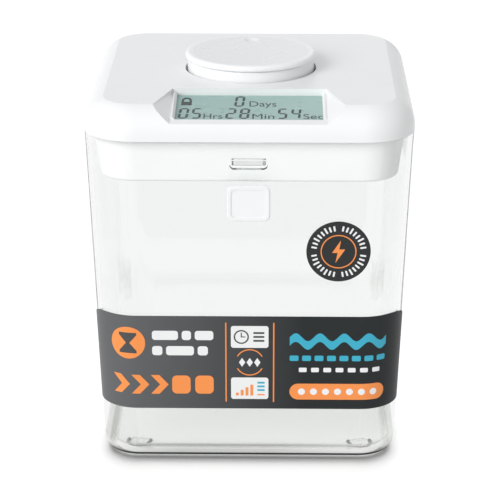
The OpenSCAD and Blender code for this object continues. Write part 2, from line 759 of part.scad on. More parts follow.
module drive_gear() color([0.9, 0.88, 0.8]) difference() {
    web = 1.6;
    union() {
        translate([0, 0, pinion_low]) linear_extrude(bolt_top + 0.4 - pinion_low)
            polygon(gear_points(rack_teeth));
        translate([0, 0, large_low]) linear_extrude(large_t) polygon(gear_points(large_teeth));
        translate([0, 0, pinion_low]) cylinder(h = gear_top - pinion_low, r = 4);
    }
    translate([0, 0, large_low - 1]) difference() {
        cylinder(h = (large_t - web) / 2 + 1, r = large_r - 4);
        translate([0, 0, -1]) cylinder(h = 9, r = rack_r + 1);
    }
    translate([0, 0, large_low + (large_t + web) / 2]) difference() {
        cylinder(h = 3, r = large_r - 4);
        translate([0, 0, -1]) cylinder(h = 9, r = rack_r);
    }
    for (k = [0:5]) rotate(60 * k + 30) translate([rack_r + 5, 0, large_low - 1])
        cylinder(h = large_t + 2, r = 3);
    translate([0, 0, pinion_low - 1]) cylinder(h = 20, r = axle_d / 2 + run_gap);
}

module motor_pinion() color([0.85, 0.7, 0.35]) translate([motor_x, 0, large_low - 0.4])
    difference() {
        linear_extrude(large_t + 0.6) polygon(gear_points(motor_teeth, 180 / motor_teeth));
        translate([0, 0, -1]) cylinder(h = 6, r = 1);
    }

module motor_shaft() color([0.7, 0.7, 0.72]) translate([motor_x, 0, large_low - 0.4])
    cylinder(h = can_low + 4 - large_low, r = 1);

// A latch bolt: head at the front, a bridge across to the stem, and the rack on the stem's inner
// side, with a gap between two teeth square to the axle
module bolt() {
    bevel = 1.5;
    first = -3;
    teeth = -first + ceil((bolt_travel + 7) / pitch);
    tip = tooth_t / 2 - addendum * tan(pressure);
    foot = tooth_t / 2 + dedendum * tan(pressure);
    translate([0, 0, bolt_low]) linear_extrude(bolt_t) {
        polygon([[-head_w / 2, -bridge[1]], [-head_w / 2, -head_out + bevel],
                 [-head_w / 2 + bevel, -head_out], [head_w / 2 - bevel, -head_out],
                 [head_w / 2, -head_out + bevel], [head_w / 2, -bridge[0]],
                 [-stem_in, -bridge[0]],
                 each [for (k = [0:teeth - 1], y = [first + k + 0.5]) each [
                     [-stem_in, y * pitch - foot], [-stem_in + addendum + dedendum, y * pitch - tip],
                     [-stem_in + addendum + dedendum, y * pitch + tip],
                     [-stem_in, y * pitch + foot]]],
                 [-stem_in, stem_end], [-stem_out, stem_end], [-stem_out, -bridge[1]]]);
    }
}

module front_bolt() color([0.85, 0.85, 0.86]) bolt();
module rear_bolt() color([0.85, 0.85, 0.86]) rotate(180) bolt();

module bolt_guides() color([0.8, 0.8, 0.82]) for (side = [0, 180]) rotate(side) {
    top = bolt_top + 1.8;
    side_wall = 2;
    difference() {
        translate([-head_w / 2 - bolt_gap - side_wall, -head_guide[1], tray_z])
            cube([head_w + 2 * bolt_gap + 2 * side_wall, head_guide[1] - head_guide[0],
                  top - tray_z]);
        translate([-head_w / 2 - bolt_gap, -head_guide[1] - 1, bolt_low - bolt_gap])
            cube([head_w + 2 * bolt_gap, 10, bolt_t + 2 * bolt_gap]);
    }
    difference() {
        translate([-stem_out - bolt_gap - side_wall, tail_guide[0], tray_z])
            cube([stem_out - stem_in + 2 * bolt_gap + 2 * side_wall,
                  tail_guide[1] - tail_guide[0], top - tray_z]);
        translate([-stem_out - bolt_gap, tail_guide[0] - 1, bolt_low - bolt_gap])
            cube([stem_out - stem_in + 2 * bolt_gap, 10, bolt_t + 2 * bolt_gap]);
    }
}

module battery_cells() color([0.75, 0.55, 0.25])
    for (s = [-1, 1]) translate([-bay_x + s * cell_pitch / 2, 0, cell_z]) rotate([s * 90, 0, 0]) {
        translate([0, 0, -cell_l / 2]) cylinder(h = cell_l - 1.2, r = cell_r);
        translate([0, 0, cell_l / 2 - 1.3]) cylinder(h = 1.3, r = 2.7);
    }

module battery_terminals() color([0.8, 0.8, 0.8])
    for (x = [-1, 1], y = [-1, 1]) translate([-bay_x + x * cell_pitch / 2, 0, cell_z]) {
        translate([-5, y > 0 ? bay_l / 2 - 0.6 : -bay_l / 2, -5]) cube([10, 0.6, 10]);
        translate([0, y * cell_l / 2, 0]) rotate([-90 * y, 0, 0])
            cylinder(h = bay_l / 2 - cell_l / 2 - 0.5, r = 3);
    }

module lid_screws() color([0.6, 0.6, 0.62]) at_lid_screws() translate([0, 0, skirt_z + 3])
    screw(1.25, 24, 3, 2);

module dial_sleeve() color([0.85, 0.85, 0.86]) difference() {
    union() {
        translate([0, 0, sleeve_low]) cylinder(h = flange_low - sleeve_low + 1, r = sleeve_out);
        translate([0, 0, flange_low]) cylinder(h = flange_t, r = flange_r);
    }
    translate([0, 0, sleeve_low - 1]) cylinder(h = 30, r = sleeve_in);
}

module switch_plunger() color([0.9, 0.9, 0.9])
    translate([0, 0, shaft_low - 0.1 - 2.4]) cylinder(h = 2.4, r = 1.7);

module dial_cap() color([0.96, 0.96, 0.97]) {
    edge = dial_r - disc_round;
    sag_r = (edge * edge + dish * dish) / (2 * dish);
    sag_a = asin(edge / sag_r);
    inside = dial_top - dish - cap_t;
    plug_low = ring_top - plug_in + groove;
    dimple_low = dial_top - dish + dimple_at * dimple_at / (2 * sag_r) - dimple_deep;
    difference() {
        rotate_extrude() polygon(concat(
            arc(0, dial_top - dish + sag_r, sag_r, -90, -90 + sag_a, 12),
            arc(edge, dial_top - disc_round, disc_round, 80, 0, 8),
            arc(dial_r - under_r, disc_low + under_r, under_r, 0, -90, 6),
            [[neck_r, disc_low], [neck_r, plug_low], [neck_r - 2, plug_low],
             [neck_r - 2, inside], [hub_r, inside], [hub_r, hub_low], [shaft_r, hub_low],
             [shaft_r, hub_low + hub_deep], [0, hub_low + hub_deep]]));
        translate([0, dimple_at, dimple_low + dimple_r]) sphere(r = dimple_r);
    }
}

module dial_ring() color([0.95, 0.95, 0.96]) rotate_extrude()
    polygon([[neck_r, ring_top], [ring_r, ring_top], [ring_r, ring_low], [neck_r - 0.6, ring_low],
             [neck_r - 0.6, ring_top - plug_in + groove - 0.4],
             [neck_r, ring_top - plug_in + groove - 0.4]]);

module dial_shaft() color([0.7, 0.7, 0.72]) difference() {
    translate([0, 0, shaft_low]) cylinder(h = hub_low + hub_deep - shaft_low, r = shaft_r);
    translate([0, 0, wheel_low - clip_t]) difference() {
        cylinder(h = clip_t, r = shaft_r + 1);
        translate([0, 0, -1]) cylinder(h = clip_t + 2, r = shaft_r - 0.6);
    }
}

module code_wheel() color([0.12, 0.12, 0.13]) difference() {
    translate([0, 0, wheel_low]) cylinder(h = wheel_t, d = code_d);
    translate([0, 0, wheel_low - 1]) cylinder(h = wheel_t + 2, r = shaft_r);
    for (k = [0:code_slots - 1]) rotate(360 * k / code_slots)
        translate([code_d / 2 - 3, -0.5, wheel_low - 1]) cube([2.2, 1, wheel_t + 2]);
}

module shaft_clip() color([0.5, 0.5, 0.52]) translate([0, 0, wheel_low - clip_t]) difference() {
    cylinder(h = clip_t, r = shaft_r + 2);
    translate([0, 0, -1]) cylinder(h = clip_t + 2, r = shaft_r - 0.6);
    translate([0, -1.2, -1]) cube([9, 2.4, clip_t + 2]);
}

module battery_door() color([0.92, 0.93, 0.94]) difference() {
    translate([0, 0, skirt_z]) linear_extrude(door_t) door_outline(0);
    translate([-bay_x, tab_y, skirt_z - 1]) cylinder(h = 6, r = 1.6);
    translate([-bay_x, tab_y, skirt_z - 1]) cylinder(h = 2, r = 2.7);
    for (k = [0:3]) translate([-bay_x - 8, -door_l / 2 + 3 + 2.2 * k, skirt_z - 1])
        cube([16, 1, 1.5]);
}

module door_screw() color([0.6, 0.6, 0.62]) translate([-bay_x, tab_y, skirt_z + 1])
    screw(1.2, 6.5, 2.4, 0.9);

container();
feet();
label_band();
port_sticker();
port_plug();
lid_shell();
lid_tray();
display_window();
lcd_panel();
display_frame();
contact_strips();
display_board();
display_screws();
display_ribbon();
main_board();
board_chips();
board_screws();
code_sensor();
press_switch();
motor_case();
motor_bracket();
bracket_screws();
gear_axle();
axle_clip();
bolt_guides();
battery_cells();
battery_terminals();
lid_screws();
dial_sleeve();
switch_plunger();
dial_cap();
dial_ring();
dial_shaft();
code_wheel();
shaft_clip();
drive_gear();
motor_pinion();
motor_shaft();
front_bolt();
rear_bolt();
battery_door();
door_screw();
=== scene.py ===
"""Timed lock container: a clear tapered box with a white timer lid, dressed for the photograph's
view."""

import math

import bmesh
import bpy
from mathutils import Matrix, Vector


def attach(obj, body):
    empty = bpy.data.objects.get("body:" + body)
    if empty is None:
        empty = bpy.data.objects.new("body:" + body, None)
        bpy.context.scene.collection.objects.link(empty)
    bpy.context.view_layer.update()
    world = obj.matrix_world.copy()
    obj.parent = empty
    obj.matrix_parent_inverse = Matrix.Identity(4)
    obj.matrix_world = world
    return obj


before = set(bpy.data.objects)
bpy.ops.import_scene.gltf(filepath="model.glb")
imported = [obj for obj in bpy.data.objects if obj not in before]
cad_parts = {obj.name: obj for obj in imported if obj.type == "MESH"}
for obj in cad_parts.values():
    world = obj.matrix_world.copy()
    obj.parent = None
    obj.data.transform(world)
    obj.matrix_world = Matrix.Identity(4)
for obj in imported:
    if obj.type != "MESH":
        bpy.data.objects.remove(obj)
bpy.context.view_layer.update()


# Camera. A long lens from slightly above the front, so the box stands almost square to the
# picture and only its draft and the lid's top show that it is seen from above.
def look_from(target, azimuth, pitch, distance, focal_px, frame_px=500):
    azimuth, pitch = math.radians(azimuth), math.radians(pitch)
    away = Vector((math.sin(azimuth) * math.cos(pitch), -math.cos(azimuth) * math.cos(pitch),
                   math.sin(pitch)))
    data = bpy.data.cameras.new("camera")
    data.sensor_width = 36
    data.lens = focal_px * data.sensor_width / frame_px
    camera = bpy.data.objects.new("camera", data)
    bpy.context.scene.collection.objects.link(camera)
    camera.location = Vector(target) + away * distance
    camera.rotation_euler = (-away).to_track_quat("-Z", "Y").to_euler()
    bpy.context.scene.camera = camera


look_from(target=(-0.00048, 0, 0.09366), azimuth=0.79, pitch=19.55, distance=1.21714,
          focal_px=2135.65)


# Studio table. A pale sheet under soft light: it reads as white wherever nothing shades it, and
# it keeps the shadow that the box throws on it.
class Signal:
    """One output of a finish's node tree. Python's operators on it add Math nodes."""

    def __init__(self, finish, socket):
        self.finish, self.socket = finish, socket

    def math(self, operation, *values, clamp=False):
        settings = {"operation": operation, "use_clamp": clamp}
        return self.finish.node("Math", settings, dict(enumerate(values)))

    def __add__(self, other):
        return self.math("ADD", self, other)

    def __sub__(self, other):
        return self.math("SUBTRACT", self, other)

    def __rsub__(self, other):
        return self.math("SUBTRACT", other, self)

    def __mul__(self, other):
        return self.math("MULTIPLY", self, other)

    def __or__(self, other):
        """The greater of the two."""
        return self.math("MAXIMUM", self, other)

    __radd__, __rmul__, __ror__ = __add__, __mul__, __or__

    def size(self):
        """The value without its sign."""
        return self.math("ABSOLUTE", self)

    def root(self):
        return self.math("SQRT", self)

    def over(self, level, soft):
        """0 below level, 1 above it, with a soft step."""
        return self.math("MULTIPLY_ADD", self - level, 1 / soft, 0.5, clamp=True)


class Finish:
    """A procedural material, or the studio's world, named for the surface that it is on."""

    def __init__(self, name, holder=None):
        self.holder = holder or bpy.data.materials.new(name)
        self.holder.use_nodes = True
        self.tree = self.holder.node_tree
        self.tree.nodes.clear()

    def node(self, kind, settings={}, inputs={}, out=0):
        made = self.tree.nodes.new("ShaderNode" + kind)
        for key, value in settings.items():
            setattr(made, key, value)
        for key, value in inputs.items():
            if isinstance(value, Signal):
                self.tree.links.new(value.socket, made.inputs[key])
            else:
                colour = made.inputs[key].type == "RGBA" and len(value) == 3
                made.inputs[key].default_value = (*value, 1) if colour else value
        return Signal(self, made.outputs[out]) if made.outputs else None

    def axis(self, name):
        """The place along X, Y or Z, in metres, in the object's own frame."""
        return self.node("SeparateXYZ", {}, {0: self.node("TexCoord", out="Object")}, out=name)

    def noise(self, size, detail=2, stretch=(1, 1, 1)):
        """Noise from 0 to 1 whose blobs are about size metres across, over stretch."""
        place = self.node("Mapping", {}, {0: self.node("TexCoord", out="Object"), "Scale": stretch})
        return self.node("TexNoise", {}, {"Vector": place, "Scale": 1 / size, "Detail": detail})

    def blend(self, factor, first, second):
        return self.node("Mix", {"data_type": "RGBA"}, {0: factor, 6: first, 7: second}, out=2)

    def bump(self, height, depth):
        return self.node("Bump", {}, {"Height": height, "Distance": depth})

    def surface(self, shader):
        world = isinstance(self.holder, bpy.types.World)
        self.node("OutputWorld" if world else "OutputMaterial", {}, {"Surface": shader})
        return self


def seen_directly(finish):
    """1 where the studio itself is seen: straight, off gloss, or through clear plastic."""
    straight, off_gloss, through = (finish.node("LightPath", out=name) for name in (
        "Is Camera Ray", "Is Glossy Ray", "Is Transmission Ray"))
    return straight | off_gloss | through


AMBIENT = 0.62  # the studio's strength as a light, where it shows as 1
sky = Finish("studio", bpy.data.worlds.new("studio"))
sky.surface(sky.node("Background", {}, {
    "Color": (1, 1, 1), "Strength": seen_directly(sky) * (1 - AMBIENT) + AMBIENT}))
bpy.context.scene.world = sky.holder

BACKDROP = (0.96, 0.96, 0.96)  # the sheet as it shows through clear plastic
SEEN, BOUNCED = (0.65, 0.65, 0.65), (0.42, 0.42, 0.415)  # the sheet seen, and as it lights others
sheet = Finish("table_sheet")
through = (sheet.node("LightPath", out="Is Transmission Ray")
           | sheet.node("LightPath", out="Transparent Depth").over(0.5, 0.1))
sheet.surface(sheet.node("BsdfPrincipled", {}, {
    "Base Color": sheet.blend(through, sheet.blend(seen_directly(sheet), BOUNCED, SEEN), (0, 0, 0)),
    "Roughness": 0.9, "Specular IOR Level": 0.0,
    "Emission Color": sheet.blend(through, (0, 0, 0), BACKDROP),
    "Emission Strength": 1.0}))
bpy.ops.mesh.primitive_plane_add(size=8, location=(0, 0, 0))
table = bpy.context.object
table.name = "table_top"
table.data.materials.append(sheet.holder)


def sun(name, towards, strength, degrees, table_only):
    """A broad, soft lamp that lights the table alone, or all but the table."""
    lamp = bpy.data.objects.new(name, bpy.data.lights.new(name, "SUN"))
    lamp.data.energy, lamp.data.angle = strength, math.radians(degrees)
    lamp.rotation_euler = Vector(towards).to_track_quat("Z", "Y").to_euler()
    bpy.context.scene.collection.objects.link(lamp)
    lit = bpy.data.collections.new(name + "_and_table")
    lit.objects.link(table)
    lit.collection_objects[0].light_linking.link_state = "INCLUDE" if table_only else "EXCLUDE"
    lamp.light_linking.receiver_collection = lit
    return lamp


sun("key", towards=(-0.60, -0.68, 0.44), strength=2.08, degrees=32, table_only=False)
backlight = sun("backlight", towards=(0, 0.7, 0.7), strength=4.8, degrees=60, table_only=True)
# Only the box keeps the backlight off the table, so its shadow stays close along the front.
base_shade = bpy.data.collections.new("shades_the_table")
base_shade.objects.link(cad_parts["container"])
backlight.light_linking.blocker_collection = base_shade

bpy.context.scene.view_settings.view_transform = "Standard"
bpy.context.scene.cycles.transparent_max_bounces = 32


# Container. One moulding in clear styrene, drafted so that it draws off its core. The walls are
# polished and bend what shows through them; the floor slab and the low corners only haze it,
# and a dark line of painted shade runs along the lower edge, where the slab is seen end on.
MM = 0.001
FLAT_HALF = 60  # half of the flat middle of each wall, in mm as the next three
LOW_RADIUS, LOW_Z = 19.7, 0.8  # the corners' outer radius at the underside, and its height
DRAFT = 0.04212  # what each mm of height adds to that radius


def dress(finish, *nodes):
    for node in nodes:
        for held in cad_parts[node].material_slots:
            held.material = finish.holder


def lights_others(finish):
    """1 for the rays that carry light from the lamps and the studio to a surface."""
    return (finish.node("LightPath", out="Is Shadow Ray")
            | finish.node("LightPath", out="Is Diffuse Ray"))


def passing(finish):
    """One skin of clear plastic as light passes it, without bending."""
    return finish.node("BsdfTransparent", {}, {"Color": (0.985, 0.99, 0.987)})


def clear_moulded(finish, colour, index):
    """Clear plastic that light for the scene passes, with the faint drawn-out waves of its flow."""
    flow = finish.bump(finish.noise(0.012, stretch=(1, 1, 0.12)), 0.00002)
    polished = finish.node("BsdfPrincipled", {}, {
        "Base Color": colour, "Roughness": 0.02, "IOR": index, "Transmission Weight": 1.0,
        "Normal": flow})
    return finish.node("MixShader", {}, {
        0: lights_others(finish), 1: polished, 2: passing(finish)})


def past_flats(finish):
    """How far the point is past the flat middle of the walls, along X and along Y, in metres."""
    return [(finish.axis(name).size() - FLAT_HALF * MM) | 0.0 for name in "XY"]


styrene = Finish("clear_styrene")
lighting = lights_others(styrene)
past_x, past_y = past_flats(styrene)
out_square = past_x * past_x + past_y * past_y


def beyond(radius, soft):
    """1 outside the radius, in mm, from where a corner's round is struck or a flat begins."""
    return out_square.over((radius * MM) ** 2, soft * MM * MM)


def below(top, soft):
    """1 under the height, in mm."""
    return 1 - styrene.axis("Z").over(top * MM, soft * MM)


corner = (past_x * past_y).over(50 * MM * MM, 100 * MM * MM)
slab = below(8, 4)
low_corner = past_x.over(1 * MM, 2 * MM) * below(50, 30)
# The haze is thickest where the slab turns up into the wall, and most of all on its inner side.
turn_up = beyond(13.7, 30) * 0.3
inner_turn = beyond(15.2, 30) * (1 - beyond(18, 20)) * 0.4
haze = slab * (turn_up + inner_turn + 0.21) + 0.03
# The dark line, which is painted shade, the part of the edge that throws the shadow under the
# front, and the painted shade on the middle of the front edge.
# Painted shade: a near-black line in the slab's colour along its lower edge.
painted_dark_line = (beyond(12.8, 20) * below(3.7, 1) * past_y.over(4 * MM, 4 * MM)
          * (1 - lighting * (0.5 + corner * 0.4)))
shading_edge = lighting * beyond(18.2, 20) * below(7, 4) * (0.4 - corner * 0.3)
# Painted shade: the slab's colour darker at the middle of the front edge.
painted_front_shade = (styrene.axis("Y") * -1).over(68 * MM, 20 * MM) * (
    1 - (styrene.axis("X") + 12 * MM).size().over(50 * MM, 50 * MM))
ground = styrene.node("BsdfPrincipled", {}, {
    "Base Color": styrene.blend(
        painted_dark_line, styrene.blend(painted_front_shade, (0.82, 0.82, 0.795), (0.42, 0.42, 0.41)),
        (0.03, 0.03, 0.03)),
    "Roughness": 0.45, "Specular IOR Level": 0.1,
    "Normal": styrene.bump(styrene.noise(0.0005), 0.00001)})
hazy = styrene.node("MixShader", {}, {
    0: haze | painted_dark_line | shading_edge, 1: passing(styrene), 2: ground})
styrene.surface(styrene.node("MixShader", {}, {
    0: slab | low_corner, 1: clear_moulded(styrene, (0.97, 0.98, 0.975), 1.5), 2: hazy}))
dress(styrene, "container")


# Feet. Four soft clear bumpers, die cut and stuck in the recesses of the base. Round each, a
# thin dark crescent of painted shade marks the recess's edge, thickest at its left and right.
FOOT_AT = 61  # each foot's middle, along X and along Y, in mm

pad = Finish("soft_foot")
pad.surface(pad.node("MixShader", {}, {
    0: pad.noise(0.003) * 0.2 + 0.15,
    1: pad.node("BsdfTransparent", {}, {"Color": (0.97, 0.975, 0.97)}),
    2: pad.node("BsdfPrincipled", {}, {
        "Base Color": (0.90, 0.905, 0.89), "Roughness": 0.35,
        "Normal": pad.bump(pad.noise(0.0008), 0.00001)})}))
dress(pad, "feet")

# Each crescent's half width, depth and half thickness, and its height in the floor, in mm.
RIM_WIDE, RIM_DEEP, RIM_THICK, RIM_Z = 6.3, 6.8, 1.1, 2.2
RIM_FROM, RIM_SWEEP, RIM_STEPS = -30, 240, 28

# Painted shade: dark pieces that stand in for the shade at each recess's edge, darkest at its left
# and right.
rim_shade = Finish("recess_rim_shade")
off_axis = (rim_shade.axis("X").size() - FOOT_AT * MM).size()
rim_shade.surface(rim_shade.node("BsdfPrincipled", {}, {
    "Base Color": rim_shade.blend(off_axis.over(3.8 * MM, 2 * MM), (0.16, 0.16, 0.155),
                                  (0.01, 0.01, 0.01)),
    "Roughness": 0.3, "Normal": rim_shade.bump(rim_shade.noise(0.0008), 0.00002)}))
rims = bpy.data.curves.new("foot_rim_shades", "CURVE")
rims.dimensions, rims.bevel_depth, rims.bevel_resolution = "3D", RIM_THICK * MM, 3
for x, y in ((-1, -1), (1, -1), (1, 1), (-1, 1)):
    arc = rims.splines.new("POLY")
    arc.points.add(RIM_STEPS)
    for step, point in enumerate(arc.points):
        turn = math.radians(RIM_FROM + RIM_SWEEP * step / RIM_STEPS)
        point.co = (x * FOOT_AT * MM + RIM_WIDE * MM * math.cos(turn),
                    y * (FOOT_AT * MM + RIM_DEEP * MM * math.sin(turn)), RIM_Z * MM, 1)
        thick = 0.3 + 0.7 * abs(math.cos(turn)) ** 3
        point.radius = thick * (0.5 if step in (0, RIM_STEPS) else 1)
holder = bpy.data.objects.new("foot_rims_path", rims)
rim_mesh = bpy.data.meshes.new_from_object(holder)
bpy.data.objects.remove(holder)
rim_mesh.materials.append(rim_shade.holder)
foot_rim_shades = bpy.data.objects.new("foot_rim_shades", rim_mesh)
bpy.context.scene.collection.objects.link(foot_rim_shades)
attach(foot_rim_shades, "container")


# Printed band. A charcoal film round the front and both front corners, with a painted sheen that
# lifts its tone to the left, opaque inks on its face and a white backing that shows from behind.
BACKING = (0.7, 0.7, 0.7)


def printed_face(finish):
    """1 on the outer face of a film that is stuck on the walls, 0 on its white backing."""
    past_x, past_y = past_flats(finish)
    wall = finish.axis("Z") * DRAFT + (LOW_RADIUS - LOW_Z * DRAFT) * MM
    out = (past_x * past_x + past_y * past_y).root() - wall
    return out.over(0.2 * MM, 0.1 * MM)


film = Finish("charcoal_film")
# Painted sheen: the film's tone lighter to the left, darker to the right.
painted_sheen = film.node("MapRange", {}, {0: film.axis("X"), 1: -60 * MM, 2: 30 * MM})
speck = film.noise(0.0006, detail=3)
film.surface(film.node("BsdfPrincipled", {}, {
    "Base Color": film.blend(
        printed_face(film), BACKING,
        film.blend(painted_sheen, (0.104, 0.107, 0.111), (0.015, 0.018, 0.019))),
    "Specular IOR Level": 0.2, "Roughness": speck * 0.1 + 0.42,
    "Normal": film.bump(speck, 0.000004)}))
dress(film, "label_band")

BAND_Z, BAND_RADIUS = 31.1, 22  # the band's lower edge, and its radius round the corners
INK, OVERPRINT = (0.3, 0.44), (0.4, 0.47)  # where each layer begins and ends, off the wall


def on_wall(u, v, out):
    """The point out off the drafted wall, u along it from the middle of the front and v up from
    the band's lower edge, in mm."""
    z = BAND_Z + v
    radius = LOW_RADIUS + DRAFT * (z - LOW_Z) + out
    if abs(u) <= FLAT_HALF:
        return u, -FLAT_HALF - radius, z
    turn = (abs(u) - FLAT_HALF) / BAND_RADIUS
    return (math.copysign(FLAT_HALF + radius * math.sin(turn), u),
            -FLAT_HALF - radius * math.cos(turn), z)


def printed(name, finish, slot, body, place, outlines, low, high):
    """One object of flat outlines in mm, from low to high over the surface that place follows.
    They are cut every 2 mm round the corners, so that they bend with the wall."""
    ink = bmesh.new()
    for outline in outlines:
        ink.faces.new([ink.verts.new((u, v, low)) for u, v in outline])
    bmesh.ops.remove_doubles(ink, verts=ink.verts, dist=0.001)
    for cut in (*range(-92, -58, 2), *range(60, 94, 2)):
        bmesh.ops.bisect_plane(ink, geom=ink.verts[:] + ink.edges[:] + ink.faces[:],
                               plane_co=(cut, 0, 0), plane_no=(1, 0, 0))
    top = bmesh.ops.extrude_face_region(ink, geom=ink.faces[:])["geom"]
    for vertex in top:
        if isinstance(vertex, bmesh.types.BMVert):
            vertex.co.z = high
    for vertex in ink.verts:
        vertex.co = Vector(place(*vertex.co)) * MM
    bmesh.ops.recalc_face_normals(ink, faces=ink.faces)
    mesh = bpy.data.meshes.new(name)
    ink.to_mesh(mesh)
    mesh.materials.append(finish.holder)
    piece = bpy.data.objects.new(name, mesh)
    bpy.context.scene.collection.objects.link(piece)
    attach(piece, body)


def inked(name, ink, outlines, layer=INK, slot="label_print"):
    """A layer of ink on the band, or on the sticker."""
    printed(name, ink, slot, "container", on_wall, outlines, *layer)


def tile(u0, u1, v0, v1, corner, steps=8):
    """A rectangle with round corners: a bar, a pill or, at the largest corner, a disc."""
    points = []
    for u, v, start in ((u1 - corner, v1 - corner, 0), (u0 + corner, v1 - corner, 90),
                        (u0 + corner, v0 + corner, 180), (u1 - corner, v0 + corner, 270)):
        for step in range(steps + 1):
            turn = math.radians(start + 90 * step / steps)
            points.append((u + corner * math.cos(turn), v + corner * math.sin(turn)))
    return points


def disc(u, v, radius):
    return tile(u - radius, u + radius, v - radius, v + radius, radius, 12)


def hoop(u, v, inner, outer, start=0, end=360, steps=40):
    """A ring or an arc of one, as a row of four-sided outlines."""
    turns = [math.radians(start + (end - start) * step / steps) for step in range(steps + 1)]
    return [[(u + r * math.cos(t), v + r * math.sin(t)) for r, t in (
        (inner, a), (outer, a), (outer, b), (inner, b))] for a, b in zip(turns, turns[1:])]


def moulded(name, colour, rough, mottle=0.03, grain=0.0004, depth=0.000004, gloss=0.5):
    """An opaque plastic or ink: faint flow marks in its tone and gloss, and a fine grain."""
    finish = Finish(name)
    flow = finish.noise(0.02)
    return finish.surface(finish.node("BsdfPrincipled", {}, {
        "Base Color": finish.blend(flow, colour, tuple(c * (1 - mottle) for c in colour)),
        "Roughness": flow * 0.08 + (rough - 0.04), "Specular IOR Level": gloss,
        "Normal": finish.bump(finish.noise(grain, detail=3), depth)}))


ink_orange = moulded("ink_orange", (0.86, 0.27, 0.062), 0.42, grain=0.0006)
ink_white = moulded("ink_white", (0.80, 0.805, 0.81), 0.42, grain=0.0006)
ink_blue = moulded("ink_blue", (0.030, 0.38, 0.53), 0.42, grain=0.0006)
ink_dark = moulded("ink_dark", (0.045, 0.048, 0.05), 0.42, grain=0.0006)

# Orange: a disc, three arrows, two tiles, two upright rules, two arcs and a long pill.
orange = [disc(-65, 38.6, 9.3)]
orange += [[(u, 8.6), (u + 4.6, 8.6), (u + 9.6, 14.2), (u + 4.6, 19.8), (u, 19.8), (u + 5, 14.2)]
           for u in (-74, -63.5, -53)]
orange += [tile(-41.5, -31.5, 8.8, 19.6, 2.6), tile(-29, -19, 8.8, 19.6, 2.6)]
orange += [tile(u - 0.35, u + 0.35, 4, 51, 0.3) for u in (-12.3, 13.4)]
orange += hoop(0.5, 27.6, 7.2, 7.8, 28, 152) + hoop(0.5, 27.6, 7.2, 7.8, 208, 332)
orange += [tile(22, 74, 5.6, 15.1, 4.7)]
inked("band_orange", ink_orange, orange)

# White: two rows of bars, two panels, three diamonds, a row of dashes, and dots on the pill.
white = [tile(u0, u1, v, v + 5.4, 1.6) for v, bars in (
    (40.6, ((-52, -38), (-36, -31), (-29, -19))),
    (31.6, ((-52, -46.5), (-44.5, -29.5), (-27.5, -22)))) for u0, u1 in bars]
white += [tile(-9.6, 10.6, 36.2, 49, 1.4), tile(-9.6, 10.6, 5.8, 18.6, 1.4)]
white += [[(u, 25), (u + 1.7, 27.6), (u, 30.2), (u - 1.7, 27.6)] for u in (-3.6, 0.5, 4.6)]
white += [tile(u, u + 4.2, 22, 24.6, 0.6) for u in (27, 33.6, 40.2, 46.8, 53.4, 60, 66.6)]
inked("band_white", ink_white, white)
inked("band_white_dots", ink_white, [disc(28.5 + 6.5 * k, 10.35, 1.9) for k in range(7)],
      OVERPRINT)

# Blue: a wave of four crests, and a row of dashes under it.
crest = [(22 + 52 * k / 60, 2.3 * math.sin(k / 60 * 8 * math.pi)) for k in range(61)]
blue = [[(u0, 37.6 + h0), (u1, 37.6 + h1), (u1, 42.6 + h1), (u0, 42.6 + h0)]
        for (u0, h0), (u1, h1) in zip(crest, crest[1:])]
blue += [tile(22 + 6.7 * k, 26.8 + 6.7 * k, 28.6, 31.8, 0.8) for k in range(8)]
inked("band_blue", ink_blue, blue)

# Over these: an hourglass on the disc, a clock and three lines on the upper panel, and rising
# bars and three lines on the lower one.
dark = [[(-69.6, 44.6), (-60.4, 44.6), (-60.4, 43.2), (-64.1, 38.6), (-60.4, 34), (-60.4, 32.6),
         (-69.6, 32.6), (-69.6, 34), (-65.9, 38.6), (-69.6, 43.2)]]
dark += hoop(-4, 42.6, 3.3, 4.1)
dark += [tile(-4.3, -3.7, 42.3, 45.2, 0.2), tile(-4.3, -1.8, 42.3, 42.9, 0.2)]
dark += [tile(2.4, 8.4, v, v + 1.1, 0.4) for v in (39.8, 42.1, 44.4)]
inked("band_dark", ink_dark, dark, OVERPRINT)
bars = [tile(-7 + 2.6 * k, -5.4 + 2.6 * k, 7.8, 9.6 + 1.6 * k, 0.3) for k in range(4)]
inked("band_tile_bars", ink_orange, bars + [tile(4.6, 8.6, 8, 8.8, 0.3)], OVERPRINT)
inked("band_tile_lines", ink_blue, [tile(4.6, 8.6, v, v + 1.1, 0.3) for v in (10.6, 12.8, 15)],
      OVERPRINT)


# Round sticker. A die-cut disc of the same film, high on the right of the front, printed with a
# dial of white marks round an orange bolt, and white behind.
sticker = Finish("sticker_film")
fleck = sticker.noise(0.0006, detail=3)
sticker.surface(sticker.node("BsdfPrincipled", {}, {
    "Base Color": sticker.blend(printed_face(sticker), BACKING, (0.024, 0.026, 0.027)),
    "Specular IOR Level": 0.2, "Roughness": fleck * 0.08 + 0.38,
    "Normal": sticker.bump(fleck, 0.000004)}))
dress(sticker, "port_sticker")

MID_U, MID_V = 47.4, 92.1  # the sticker's middle, as on_wall counts


def turned(outline, degrees):
    """The outline, given round the sticker's middle, turned about it and put in its place."""
    c, s = math.cos(math.radians(degrees)), math.sin(math.radians(degrees))
    return [(MID_U + u * c - v * s, MID_V + u * s + v * c) for u, v in outline]


marks = [turned(tile(11.6, 14.6 if k % 3 else 15.2, -0.5, 0.5, 0.4), 10 * k) for k in range(36)
         if k % 9]
inked("sticker_marks", ink_white, marks, slot="sticker_print")
bolt = [(1.2, 6.4), (-3.4, -0.7), (-0.5, -0.7), (-1.6, -6.4), (3.5, 1.3), (0.4, 1.3)]
inked("sticker_bolt", ink_orange, [turned(bolt, 0)] + hoop(MID_U, MID_V, 8.9, 9.5),
      slot="sticker_print")


